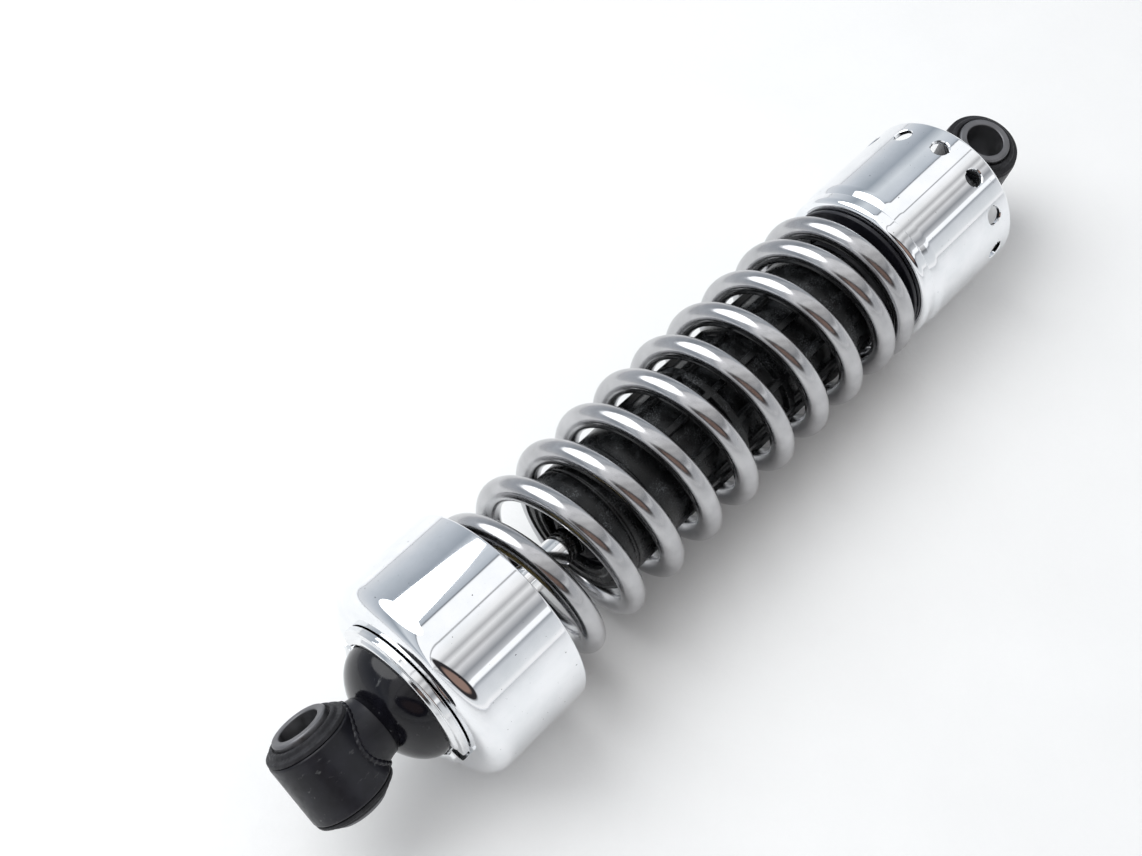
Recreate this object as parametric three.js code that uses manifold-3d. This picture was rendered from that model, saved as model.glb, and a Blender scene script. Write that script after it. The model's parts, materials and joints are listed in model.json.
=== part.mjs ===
// Rear shock absorber, lying on its side. Millimetres, +Z up.
// +X runs from the rod end to the body end; the damper axis is parallel to X.
// The base of the spring cover rests on Z = 0 and the two eyes are level with each other.

import * as THREE from 'three';
import { mergeVertices } from 'three/addons/utils/BufferGeometryUtils.js';
import Module from 'manifold-3d';

const wasm = await Module();
wasm.setup();

// ---- driving dimensions ----------------------------------------------------------------
const GAP = 0.3;
const EYE_DISTANCE = 298;
const ROD_EYE_X = -154.9;
const BODY_EYE_X = ROD_EYE_X + EYE_DISTANCE;
const MIDDLE_X = (ROD_EYE_X + BODY_EYE_X) / 2;
const ROD_EYE_TILT = 41;
const BODY_EYE_TILT = -18;

// eyes, rubber bushes and their steel sleeves
const EYE_RADIUS = 12.9;
const EYE_BORE_RADIUS = 11.1;
const EYE_HALF_WIDTH = 10.4;
const BUSH_HALF_WIDTH = 13.4;
const SLEEVE_RADIUS = 8.7;
const SLEEVE_BORE_RADIUS = 6.3;
const SLEEVE_HALF_WIDTH = 14.8;
const ROD_NECK_RADIUS = 9.5;
const BODY_NECK_RADIUS = 8.2;
const BODY_NECK_START_X = 113;

// spring cover and the parts that hold it
const COVER_RADIUS = 34;
const COVER_WALL = 1.6;
const COVER_END_X = -125.5;
const COVER_RIM_X = -89.4;
const COVER_SHOULDER = 9;
const COVER_HOLE_RADIUS = 19.6;
const COVER_SIDES = 40;
const COLLAR_RADIUS = 24.2;
const COLLAR_BORE_RADIUS = 10;
const COLLAR_PLATE = 1.8;
const COLLAR_LIP = 1.8;
const COLLAR_SPLIT = 5;
const COLLAR_TURN = 15;
const DOME_RADIUS = 19.6;
const DOME_DEPTH = 11;
const DOME_WALL = 1.5;

// spring
const SPRING_RADIUS = 25;
const WIRE_RADIUS = 3.75;
const SPRING_PITCH = 17.15;
const DEAD_PITCH = 7.8;
const BLEND_TURNS = 0.8;
const DEAD_TURNS_COVER = 0.95;
const DEAD_TURNS_SEAT = 0.72;
const SPRING_FIRST_X = -77.8;
const SPRING_FIRST_TURN = 0.5;
const SPRING_START_TURN = -0.87;
const SPRING_LAST_TURN = 8.32;
const SPRING_TIP_COVER = SPRING_START_TURN - BLEND_TURNS - DEAD_TURNS_COVER;
const SPRING_TIP_SEAT = SPRING_LAST_TURN + BLEND_TURNS + DEAD_TURNS_SEAT;
const WIRE_SIDES = 8;
const STEPS_PER_TURN = 16;

// rod and piston
const ROD_RADIUS = 5;
const ROD_SPIGOT_RADIUS = 4;
const ROD_START_X = -127;
const ROD_SHOULDER_X = -24;
const ROD_END_X = -2;
const BOSS_END_X = -122.8;
const LOCK_NUT_END_X = -116.3;
const LOCK_NUT_FLATS = 17;
const BUMP_START_X = -116;
const BUMP_END_X = -95.8;
const BUMP_RADIUS = 15;
const BUMP_WAIST_RADIUS = 13;
const SPACER_START_X = -35;
const SPACER_RADIUS = 8.5;
const PISTON_RADIUS = 11.4;
const PISTON_NUT_FLATS = 13;
const PORT_COUNT = 6;

// damper body
const TUBE_RADIUS = 16.4;
const TUBE_WALL = 1.5;
const TUBE_START_X = -56.5;
const TUBE_END_X = 122;
const CYLINDER_RADIUS = 13.4;
const CYLINDER_BORE_RADIUS = 12;
const CYLINDER_END_X = 104;
const HEAD_STEP_X = -40;
const VALVE_START_X = 98;
const VALVE_END_X = 112;

// black guide around the damper body
const GUIDE_START_X = -59.5;
const GUIDE_END_X = 66;
const GUIDE_RADIUS = 20.3;
const GUIDE_WALL_RADIUS = 17.9;
const GUIDE_RIBS = 10;
const GUIDE_PLAIN_END_X = -25;
const GUIDE_RIB_END_X = 43;
const GUIDE_RIB_WIDTH = 2.4;
const GUIDE_RING_WIDTH = 3;
const GUIDE_RINGS_X = [-4, 18];

// preload adjuster
const SEAT_X = 76;
const SEAT_THICKNESS = 1.5;
const SEAT_RADIUS = 25;
const ADJUSTER_START_X = 77.8;
const ADJUSTER_END_X = 125.5;
const ADJUSTER_RADIUS = 28.5;
const ADJUSTER_WALL = 1.6;
const SPANNER_HOLES = 12;
const SPANNER_HOLE_RADIUS = 3.1;
const SPANNER_HOLE_X = 117;
const SPANNER_HOLE_TURN = 6;
const CAM_RAMPS = 3;
const CAM_TURN = 96;
const CAM_LIFT = 6;
const CAM_RADIUS = 23.7;
const FINGER_X = 103;
const FINGER_HALF_ANGLE = 6;
const FINGER_LENGTH = 12;
const FINGER_HEIGHT = 4.2;
const FINGER_MIDDLE_RADIUS = 21.3;
const STOP_RING_X = 114;
const STOP_RING_WIDTH = 3;
const STOP_RING_RADIUS = 24;

const SIDES = 28;
const SMALL_SIDES = 20;
const AXIS_HEIGHT = COVER_RADIUS * Math.cos(Math.PI / COVER_SIDES);

// ---- materials --------------------------------------------------------------------------
function material(name, color, roughness, metalness) {
  const made = new THREE.MeshStandardMaterial({ color, roughness, metalness });
  made.name = name;
  return made;
}

const chrome = material('chrome', 0xe6e8ea, 0.08, 1.0);
const springSteel = material('spring_steel', 0xc9cbcd, 0.3, 1.0);
const polishedSteel = material('polished_steel', 0xd4d5d6, 0.16, 1.0);
const hardChrome = material('hard_chrome', 0xdadcde, 0.1, 1.0);
const dullSteel = material('dull_steel', 0x7e8286, 0.5, 0.9);
const blackEnamel = material('black_enamel', 0x17181a, 0.28, 0.2);
const blackGloss = material('black_gloss', 0x0c0d10, 0.1, 0.2);
const rubber = material('rubber', 0x2a2b2e, 0.75, 0.0);
const blackPlastic = material('black_plastic', 0x141517, 0.45, 0.0);
const aluminium = material('aluminium', 0xb7babd, 0.4, 1.0);
const camSteel = material('cam_steel', 0x8f9296, 0.45, 0.9);
const bearingPolymer = material('bearing_polymer', 0x3c5a50, 0.5, 0.0);
const bumpFoam = material('bump_foam', 0xb9a15c, 0.8, 0.0);

// ---- geometry helpers ---------------------------------------------------------------------
function signedVolume(geometry) {
  const p = geometry.attributes.position;
  const index = geometry.index;
  const a = new THREE.Vector3();
  const b = new THREE.Vector3();
  const c = new THREE.Vector3();
  let volume = 0;
  for (let i = 0; i < index.count; i += 3) {
    a.fromBufferAttribute(p, index.getX(i));
    b.fromBufferAttribute(p, index.getX(i + 1));
    c.fromBufferAttribute(p, index.getX(i + 2));
    volume += a.dot(b.cross(c)) / 6;
  }
  return volume;
}

// Merged copy of a geometry with its faces turned outward.
function closed(geometry) {
  const bare = geometry.clone();
  bare.deleteAttribute('normal');
  bare.deleteAttribute('uv');
  const merged = mergeVertices(bare, 1e-4);
  if (signedVolume(merged) < 0) {
    const index = merged.index;
    for (let i = 0; i < index.count; i += 3) {
      const swap = index.getX(i);
      index.setX(i, index.getX(i + 1));
      index.setX(i + 1, swap);
    }
  }
  return merged;
}

function toManifold(geometry) {
  const merged = closed(geometry);
  return new wasm.Manifold(new wasm.Mesh({
    numProp: 3,
    vertProperties: new Float32Array(merged.attributes.position.array),
    triVerts: new Uint32Array(merged.index.array),
  }));
}

function fromManifold(solid) {
  const mesh = solid.getMesh();
  const geometry = new THREE.BufferGeometry();
  geometry.setAttribute('position', new THREE.BufferAttribute(new Float32Array(mesh.vertProperties), 3));
  geometry.setIndex(new THREE.BufferAttribute(new Uint32Array(mesh.triVerts), 1));
  return geometry;
}

function cut(body, ...tools) {
  return fromManifold(tools.reduce((solid, tool) => solid.subtract(toManifold(tool)), toManifold(body)));
}

function join(...bodies) {
  return fromManifold(bodies.map(toManifold).reduce((all, solid) => all.add(solid)));
}

function common(a, b) {
  return fromManifold(toManifold(a).intersect(toManifold(b)));
}

// Solid of revolution about X. The profile lists [x, radius] and either starts and ends on
// the axis or is closed on itself by this function.
function revolve(profile, sides = SIDES) {
  const points = profile.map(([x, r]) => new THREE.Vector2(r, x));
  const first = points[0];
  const last = points[points.length - 1];
  if (first.x > 0 || last.x > 0) {
    points.push(first.clone());
  }
  const geometry = new THREE.LatheGeometry(points, sides, Math.PI / sides);
  geometry.rotateZ(-Math.PI / 2);
  return closed(geometry);
}

// Hollow cylinder from x0 to x1 with its four edges broken by the given chamfer.
function ring(x0, x1, inner, outer, chamfer = 0.3, sides = SIDES) {
  return revolve([
    [x0, inner + chamfer],
    [x0, outer - chamfer],
    [x0 + chamfer, outer],
    [x1 - chamfer, outer],
    [x1, outer - chamfer],
    [x1, inner + chamfer],
    [x1 - chamfer, inner],
    [x0 + chamfer, inner],
  ], sides);
}

function rod(x0, x1, radius, sides = SIDES) {
  return revolve([[x0, 0], [x0, radius], [x1, radius], [x1, 0]], sides);
}

function hexNut(x0, x1, acrossFlats, bore) {
  const hex = revolve([
    [x0, 0],
    [x0, acrossFlats / Math.sqrt(3)],
    [x1, acrossFlats / Math.sqrt(3)],
    [x1, 0],
  ], 6);
  return cut(hex, rod(x0 - 1, x1 + 1, bore, 24));
}

// Points on a quarter-like arc in the [x, radius] plane, angles in degrees.
function arc(cx, cr, radius, from, to, steps) {
  const points = [];
  for (let i = 0; i <= steps; i += 1) {
    const angle = THREE.MathUtils.degToRad(from + ((to - from) * i) / steps);
    points.push([cx + radius * Math.cos(angle), cr + radius * Math.sin(angle)]);
  }
  return points;
}

// Turns a shape revolved about X so that its axis becomes the axis of an eye.
function placeInEye(geometry, centreX, tilt) {
  const angle = THREE.MathUtils.degToRad(tilt);
  const axis = new THREE.Vector3(0, Math.sin(angle), Math.cos(angle));
  const along = new THREE.Vector3(1, 0, 0);
  const across = new THREE.Vector3().crossVectors(axis, along);
  const basis = new THREE.Matrix4().makeBasis(axis, along, across);
  const placed = geometry.clone().applyMatrix4(basis);
  placed.translate(centreX, 0, 0);
  return placed;
}

// ---- assembly ----------------------------------------------------------------------------
const shock = new THREE.Group();
shock.name = 'rear_shock_absorber';

function add(name, geometry, slot) {
  const lifted = geometry.clone();
  lifted.translate(-MIDDLE_X, 0, AXIS_HEIGHT);
  lifted.computeVertexNormals();
  const mesh = new THREE.Mesh(lifted, slot);
  mesh.name = name;
  shock.add(mesh);
}

// Eye: steel ring welded to a round neck, bored through for the bush.
function eye(centreX, tilt, neck) {
  const shell = placeInEye(rod(-EYE_HALF_WIDTH, EYE_HALF_WIDTH, EYE_RADIUS, SIDES), centreX, tilt);
  const bore = placeInEye(rod(-30, 30, EYE_BORE_RADIUS, SIDES), centreX, tilt);
  return cut(join(shell, neck), bore);
}

// Rubber bush: plain inside the eye and stepped down where it stands out at both faces.
function bush() {
  const inner = SLEEVE_RADIUS + GAP;
  const outer = EYE_BORE_RADIUS - GAP;
  const side = [
    [-BUSH_HALF_WIDTH, inner],
    [-BUSH_HALF_WIDTH, inner + 0.6],
    [-BUSH_HALF_WIDTH + 1.2, outer - 0.9],
    [-EYE_HALF_WIDTH - 1.2, outer - 0.5],
    [-EYE_HALF_WIDTH - 0.4, outer],
  ];
  const mirrored = side.map(([x, r]) => [-x, r]).reverse();
  return revolve([...side, ...mirrored], SIDES);
}

function addBushing(prefix, centreX, tilt) {
  const half = SLEEVE_HALF_WIDTH;
  const sleeve = ring(-half, half, SLEEVE_BORE_RADIUS, SLEEVE_RADIUS, 0.3, SMALL_SIDES);
  add(`${prefix}_bush`, placeInEye(bush(), centreX, tilt), rubber);
  add(`${prefix}_sleeve`, placeInEye(sleeve, centreX, tilt), dullSteel);
}

// ---- rod end -----------------------------------------------------------------------------
const rodNeck = rod(ROD_EYE_X + EYE_BORE_RADIUS - 1, BOSS_END_X, ROD_NECK_RADIUS, SMALL_SIDES);
const rodSocket = rod(ROD_START_X - GAP, BOSS_END_X + 1, ROD_RADIUS + GAP, SMALL_SIDES);
add('rod_end_eye', cut(eye(ROD_EYE_X, ROD_EYE_TILT, rodNeck), rodSocket), blackEnamel);
addBushing('rod_end', ROD_EYE_X, ROD_EYE_TILT);

// Pressed dome behind the eye, open in the middle for the neck.
const COLLAR_X = COVER_END_X - GAP - COLLAR_PLATE;
const DOME_RIM_X = COLLAR_X - GAP;
function domeLine(radius, depth, steps) {
  const points = [];
  for (let i = 0; i <= steps; i += 1) {
    const angle = (i / steps) * 1.0;
    points.push([DOME_RIM_X - depth * Math.sin(angle) / Math.sin(1.0), radius * Math.cos(angle)]);
  }
  return points;
}
const dome = revolve([
  ...domeLine(DOME_RADIUS, DOME_DEPTH, 8),
  ...domeLine(DOME_RADIUS - DOME_WALL, DOME_DEPTH - DOME_WALL, 8).reverse(),
]);
const neckClearance = rod(ROD_EYE_X, DOME_RIM_X + 1, ROD_NECK_RADIUS + GAP, SMALL_SIDES);
add('rod_end_dome', cut(dome, neckClearance), blackGloss);

// Two collar halves that slip in between the dome and the cover.
const collarRing = revolve([
  [COLLAR_X + COLLAR_PLATE, COLLAR_BORE_RADIUS],
  [COLLAR_X + COLLAR_PLATE, COLLAR_RADIUS - 0.4],
  [COLLAR_X + COLLAR_PLATE - 0.4, COLLAR_RADIUS],
  [COLLAR_X - 0.3, COLLAR_RADIUS],
  [COLLAR_X - 0.7, COLLAR_RADIUS - 0.5],
  [COLLAR_X - 0.7, DOME_RADIUS + 3.3],
  [COLLAR_X - COLLAR_LIP + 0.5, DOME_RADIUS + 2.9],
  [COLLAR_X - COLLAR_LIP, DOME_RADIUS + 2.3],
  [COLLAR_X - COLLAR_LIP, DOME_RADIUS + 0.9],
  [COLLAR_X - COLLAR_LIP + 0.5, DOME_RADIUS + 0.4],
  [COLLAR_X, DOME_RADIUS + 0.4],
  [COLLAR_X, COLLAR_BORE_RADIUS],
]);
['a', 'b'].forEach((letter, i) => {
  const block = new THREE.BoxGeometry(20, 60, 60);
  block.translate(COLLAR_X, 0, 30 + COLLAR_SPLIT / 2);
  block.rotateX(THREE.MathUtils.degToRad(COLLAR_TURN + 180 * i));
  add(`collar_half_${letter}`, common(collarRing, block), polishedSteel);
});

// Deep-drawn cover open towards the spring.
const shoulderX = COVER_END_X + COVER_SHOULDER;
const shoulderR = COVER_RADIUS - COVER_SHOULDER;
add('spring_cover', revolve([
  [COVER_END_X, COVER_HOLE_RADIUS],
  ...arc(shoulderX, shoulderR, COVER_SHOULDER, 180, 90, 7),
  [COVER_RIM_X - 0.4, COVER_RADIUS],
  [COVER_RIM_X, COVER_RADIUS - 0.4],
  [COVER_RIM_X, COVER_RADIUS - COVER_WALL + 0.4],
  [COVER_RIM_X - 0.4, COVER_RADIUS - COVER_WALL],
  ...arc(shoulderX, shoulderR, COVER_SHOULDER - COVER_WALL, 90, 180, 7),
  [COVER_END_X + COVER_WALL, COVER_HOLE_RADIUS],
], COVER_SIDES), chrome);

// ---- rod, bump stop and piston ---------------------------------------------------------
add('piston_rod', revolve([
  [ROD_START_X, 0],
  [ROD_START_X, ROD_RADIUS - 0.5],
  [ROD_START_X + 0.5, ROD_RADIUS],
  [ROD_SHOULDER_X, ROD_RADIUS],
  [ROD_SHOULDER_X, ROD_SPIGOT_RADIUS],
  [ROD_END_X - 0.5, ROD_SPIGOT_RADIUS],
  [ROD_END_X, ROD_SPIGOT_RADIUS - 0.5],
  [ROD_END_X, 0],
], SMALL_SIDES), hardChrome);
add('lock_nut', hexNut(BOSS_END_X + GAP, LOCK_NUT_END_X, LOCK_NUT_FLATS, ROD_RADIUS + GAP), dullSteel);
add('bump_stop', revolve([
  [BUMP_START_X, ROD_RADIUS + GAP],
  [BUMP_START_X, BUMP_RADIUS - 1],
  [BUMP_START_X + 1, BUMP_RADIUS],
  [BUMP_START_X + 4.5, BUMP_RADIUS],
  [BUMP_START_X + 6, BUMP_WAIST_RADIUS],
  [BUMP_START_X + 7.5, BUMP_WAIST_RADIUS - 0.5],
  [BUMP_START_X + 9, BUMP_WAIST_RADIUS],
  [BUMP_END_X - 2, BUMP_WAIST_RADIUS - 2],
  [BUMP_END_X, BUMP_WAIST_RADIUS - 4],
  [BUMP_END_X, ROD_RADIUS + GAP],
], SMALL_SIDES), bumpFoam);
const spacerEndX = ROD_SHOULDER_X - GAP;
const spacer = ring(SPACER_START_X, spacerEndX, ROD_RADIUS + GAP, SPACER_RADIUS, 0.4, SMALL_SIDES);
add('rebound_spacer', spacer, bearingPolymer);
add('shim_stack', revolve([
  [ROD_SHOULDER_X + GAP, ROD_SPIGOT_RADIUS + GAP],
  [ROD_SHOULDER_X + GAP, 7],
  [ROD_SHOULDER_X + 1.2, 7],
  [ROD_SHOULDER_X + 1.2, 9.5],
  [ROD_SHOULDER_X + 2, 9.5],
  [ROD_SHOULDER_X + 2, ROD_SPIGOT_RADIUS + GAP],
], SMALL_SIDES), camSteel);
const PISTON_X0 = ROD_SHOULDER_X + 2 + GAP;
const PISTON_X1 = PISTON_X0 + 12;
const pistonBlank = revolve([
  [PISTON_X0, ROD_SPIGOT_RADIUS + GAP],
  [PISTON_X0, PISTON_RADIUS - 0.4],
  [PISTON_X0 + 0.4, PISTON_RADIUS],
  [PISTON_X0 + 3, PISTON_RADIUS],
  [PISTON_X0 + 3, PISTON_RADIUS - 1.2],
  [PISTON_X0 + 9, PISTON_RADIUS - 1.2],
  [PISTON_X0 + 9, PISTON_RADIUS],
  [PISTON_X1 - 0.4, PISTON_RADIUS],
  [PISTON_X1, PISTON_RADIUS - 0.4],
  [PISTON_X1, ROD_SPIGOT_RADIUS + GAP],
], SMALL_SIDES);
function ports(count, pitchRadius, radius, x0, x1) {
  const holes = [];
  for (let i = 0; i < count; i += 1) {
    const angle = (i / count) * 2 * Math.PI;
    const hole = rod(x0, x1, radius, 8);
    hole.translate(0, pitchRadius * Math.cos(angle), pitchRadius * Math.sin(angle));
    holes.push(hole);
  }
  return holes;
}
add('piston', cut(pistonBlank, ...ports(PORT_COUNT, 7.2, 1.3, PISTON_X0 - 1, PISTON_X1 + 1)), aluminium);
add('piston_ring', revolve([
  [PISTON_X0 + 3 + GAP, PISTON_RADIUS - 0.9],
  [PISTON_X0 + 3 + GAP, PISTON_RADIUS + 0.3],
  [PISTON_X0 + 9 - GAP, PISTON_RADIUS + 0.3],
  [PISTON_X0 + 9 - GAP, PISTON_RADIUS - 0.9],
], SMALL_SIDES), bearingPolymer);
const pistonNut = hexNut(PISTON_X1 + GAP, ROD_END_X - 1.5, PISTON_NUT_FLATS, ROD_SPIGOT_RADIUS + GAP);
add('piston_nut', pistonNut, dullSteel);

// ---- damper body ----------------------------------------------------------------------------
const TUBE_BORE = TUBE_RADIUS - TUBE_WALL;
add('damper_tube', revolve([
  [TUBE_START_X, 11],
  [TUBE_START_X, TUBE_RADIUS - 1.5],
  [TUBE_START_X + 0.45, TUBE_RADIUS - 0.45],
  [TUBE_START_X + 1.5, TUBE_RADIUS],
  [TUBE_END_X, TUBE_RADIUS],
  [TUBE_END_X, TUBE_BORE],
  [TUBE_START_X + 1.5, TUBE_BORE],
  [TUBE_START_X + 1.5, 11],
]), blackEnamel);
const HEAD_X0 = TUBE_START_X + 1.5 + GAP;
add('seal_head', revolve([
  [HEAD_X0, 9.6],
  [HEAD_X0, TUBE_BORE - GAP],
  [HEAD_STEP_X, TUBE_BORE - GAP],
  [HEAD_STEP_X, CYLINDER_BORE_RADIUS - GAP],
  [SPACER_START_X - GAP, CYLINDER_BORE_RADIUS - GAP],
  [SPACER_START_X - GAP, ROD_RADIUS + GAP],
  [HEAD_X0 + 6, ROD_RADIUS + GAP],
  [HEAD_X0 + 6, 9.6],
]), aluminium);
add('rod_seal', ring(HEAD_X0 + 1.2, HEAD_X0 + 6 - GAP, ROD_RADIUS + GAP, 9.3, 0.4, SMALL_SIDES), rubber);
add('dust_wiper', revolve([
  [HEAD_X0 + 0.9, ROD_RADIUS + GAP],
  [HEAD_X0 + 0.9, 9.3],
  [TUBE_START_X - 0.6, 9.3],
  [TUBE_START_X - 1.4, 8.4],
  [TUBE_START_X - 3, 5.9],
  [TUBE_START_X - 3, ROD_RADIUS + GAP],
], SMALL_SIDES), rubber);
const cylinderStartX = HEAD_STEP_X + GAP;
const cylinder = ring(cylinderStartX, CYLINDER_END_X, CYLINDER_BORE_RADIUS, CYLINDER_RADIUS, 0.2);
add('pressure_tube', cylinder, aluminium);
const valveBlank = revolve([
  [VALVE_START_X, 0],
  [VALVE_START_X, CYLINDER_BORE_RADIUS - GAP],
  [CYLINDER_END_X + GAP, CYLINDER_BORE_RADIUS - GAP],
  [CYLINDER_END_X + GAP, TUBE_BORE - GAP],
  [VALVE_END_X, TUBE_BORE - GAP],
  [VALVE_END_X, 0],
]);
const valvePorts = ports(PORT_COUNT, 7.5, 1.4, VALVE_START_X - 1, VALVE_END_X + 1);
add('base_valve', cut(valveBlank, ...valvePorts), aluminium);
add('end_cap', revolve([
  [VALVE_END_X + GAP, 8.5],
  [VALVE_END_X + GAP, TUBE_BORE - GAP],
  [TUBE_END_X + GAP, TUBE_BORE - GAP],
  [TUBE_END_X + GAP, TUBE_RADIUS],
  [TUBE_END_X + 1.8, TUBE_RADIUS],
  [TUBE_END_X + 3.6, TUBE_RADIUS - 1.6],
  [TUBE_END_X + 5, TUBE_RADIUS - 4.6],
  [TUBE_END_X + 5.6, 8.5],
]), blackEnamel);

const bodyNeck = rod(BODY_NECK_START_X, BODY_EYE_X - EYE_BORE_RADIUS + 1, BODY_NECK_RADIUS, SMALL_SIDES);
add('body_eye', eye(BODY_EYE_X, BODY_EYE_TILT, bodyNeck), blackEnamel);
addBushing('body', BODY_EYE_X, BODY_EYE_TILT);

// ---- ribbed guide ------------------------------------------------------------------------------
const GUIDE_BORE = TUBE_RADIUS + GAP;
const guideShell = revolve([
  [GUIDE_START_X, 12.5],
  [GUIDE_START_X, GUIDE_RADIUS - 2],
  [GUIDE_START_X + 0.6, GUIDE_RADIUS - 0.9],
  [GUIDE_START_X + 2, GUIDE_RADIUS - 0.4],
  [GUIDE_PLAIN_END_X - 0.5, GUIDE_RADIUS - 0.4],
  [GUIDE_PLAIN_END_X, GUIDE_RADIUS - 0.9],
  [GUIDE_PLAIN_END_X, GUIDE_WALL_RADIUS],
  [GUIDE_RIB_END_X, GUIDE_WALL_RADIUS],
  [GUIDE_RIB_END_X, GUIDE_RADIUS - 0.6],
  [GUIDE_RIB_END_X + 1, GUIDE_RADIUS],
  [GUIDE_END_X - 1, GUIDE_RADIUS],
  [GUIDE_END_X, GUIDE_RADIUS - 1],
  [GUIDE_END_X, GUIDE_BORE],
  [TUBE_START_X - GAP, GUIDE_BORE],
  [TUBE_START_X - GAP, 12.5],
]);
const ribs = [];
for (let i = 0; i < GUIDE_RIBS; i += 1) {
  const start = GUIDE_PLAIN_END_X - 0.5;
  const end = GUIDE_RIB_END_X + 0.5;
  const rib = new THREE.BoxGeometry(end - start, GUIDE_RIB_WIDTH, 3);
  rib.translate((end + start) / 2, 0, GUIDE_RADIUS - 1.9);
  rib.rotateX((i / GUIDE_RIBS) * 2 * Math.PI);
  ribs.push(rib);
}
for (const x of GUIDE_RINGS_X) {
  ribs.push(ring(x, x + GUIDE_RING_WIDTH, GUIDE_BORE + 0.5, GUIDE_RADIUS - 0.7, 0.3));
}
add('spring_guide', join(guideShell, ...ribs), blackPlastic);

// ---- preload adjuster ----------------------------------------------------------------------
add('thrust_washer', ring(SEAT_X, SEAT_X + SEAT_THICKNESS, TUBE_RADIUS + 1.3, SEAT_RADIUS, 0.3), blackEnamel);

const ADJUSTER_BORE = ADJUSTER_RADIUS - ADJUSTER_WALL;
const sleeveBlank = revolve([
  [ADJUSTER_START_X, TUBE_RADIUS + 1.3],
  [ADJUSTER_START_X, ADJUSTER_RADIUS - 3.4],
  ...arc(ADJUSTER_START_X + 2.6, ADJUSTER_RADIUS - 3.2, 2.6, 165, 90, 4),
  [ADJUSTER_START_X + 5.4, ADJUSTER_RADIUS - 0.6],
  [ADJUSTER_START_X + 6.6, ADJUSTER_RADIUS],
  [ADJUSTER_END_X - 4, ADJUSTER_RADIUS],
  [ADJUSTER_END_X - 1.4, ADJUSTER_RADIUS - 0.4],
  [ADJUSTER_END_X, ADJUSTER_RADIUS - 1.3],
  [ADJUSTER_END_X - 0.6, ADJUSTER_BORE - 0.9],
  [ADJUSTER_END_X - 2.5, ADJUSTER_BORE],
  [ADJUSTER_START_X + 6, ADJUSTER_BORE],
  [ADJUSTER_START_X + 2.4, ADJUSTER_BORE - 2],
  [ADJUSTER_START_X + 1.7, TUBE_RADIUS + 8],
  [ADJUSTER_START_X + 1.7, TUBE_RADIUS + 1.3],
], COVER_SIDES);
const spannerHoles = [];
for (let i = 0; i < SPANNER_HOLES; i += 1) {
  const hole = new THREE.CylinderGeometry(SPANNER_HOLE_RADIUS, SPANNER_HOLE_RADIUS, 10, 14);
  hole.rotateX(Math.PI / 2);
  hole.translate(SPANNER_HOLE_X, 0, ADJUSTER_RADIUS);
  hole.rotateX(THREE.MathUtils.degToRad(SPANNER_HOLE_TURN + (360 / SPANNER_HOLES) * i));
  spannerHoles.push(hole);
}
add('adjuster_sleeve', cut(sleeveBlank, ...spannerHoles), chrome);

// Ring with helical ramps facing the fingers of the stop ring.
function camRing() {
  const x0 = ADJUSTER_START_X + 1.7 + GAP;
  const inner = TUBE_RADIUS + 1.3;
  const outer = CAM_RADIUS;
  const slope = CAM_LIFT / CAM_TURN;
  const low = FINGER_X - GAP - slope * FINGER_HALF_ANGLE;
  const sector = 360 / CAM_RAMPS;
  const steps = 90;
  const positions = [];
  const faces = [];
  for (let i = 0; i < steps; i += 1) {
    const degrees = (i / steps) * 360;
    const behind = (((-degrees + 8) % sector) + sector) % sector - 8;
    const rise = behind < CAM_TURN + 7 ? slope * Math.max(behind, -7) : slope * -7;
    const angle = THREE.MathUtils.degToRad(degrees);
    const top = low + rise;
    for (const [x, r] of [[x0, inner], [x0, outer], [top, outer], [top, inner]]) {
      positions.push(x, r * Math.cos(angle), r * Math.sin(angle));
    }
    const here = i * 4;
    const next = ((i + 1) % steps) * 4;
    for (let k = 0; k < 4; k += 1) {
      const j = (k + 1) % 4;
      faces.push(here + k, here + j, next + j, here + k, next + j, next + k);
    }
  }
  const geometry = new THREE.BufferGeometry();
  geometry.setAttribute('position', new THREE.Float32BufferAttribute(positions, 3));
  geometry.setIndex(faces);
  return closed(geometry);
}
add('adjuster_cam', camRing(), camSteel);

// Stop ring pressed on the tube; one finger stands in each ramp.
const fingers = [];
for (let i = 0; i < CAM_RAMPS; i += 1) {
  const width = 2 * FINGER_MIDDLE_RADIUS * Math.tan(THREE.MathUtils.degToRad(FINGER_HALF_ANGLE - 1));
  const finger = new THREE.BoxGeometry(FINGER_LENGTH, width, FINGER_HEIGHT);
  finger.translate(FINGER_X + FINGER_LENGTH / 2, 0, FINGER_MIDDLE_RADIUS);
  finger.rotateX(THREE.MathUtils.degToRad(-90 + (360 / CAM_RAMPS) * i));
  fingers.push(finger);
}
const stopRing = ring(STOP_RING_X, STOP_RING_X + STOP_RING_WIDTH, TUBE_RADIUS + GAP, STOP_RING_RADIUS, 0.3);
add('cam_stop_ring', join(stopRing, ...fingers), camSteel);

// ---- spring --------------------------------------------------------------------------------
// Axial position of the wire centre at a given number of turns: constant pitch in the middle,
// easing to the close-wound pitch at both ends.
function springX(turn) {
  const ease = (over) => {
    const u = Math.min(over, BLEND_TURNS);
    const eased = SPRING_PITCH * u + ((DEAD_PITCH - SPRING_PITCH) * u * u) / (2 * BLEND_TURNS);
    return eased + DEAD_PITCH * Math.max(over - BLEND_TURNS, 0);
  };
  const lower = Math.min(Math.max(turn, SPRING_START_TURN), SPRING_LAST_TURN);
  const middle = SPRING_FIRST_X + SPRING_PITCH * (lower - SPRING_FIRST_TURN);
  return middle + ease(Math.max(turn - SPRING_LAST_TURN, 0)) - ease(Math.max(SPRING_START_TURN - turn, 0));
}

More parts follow.
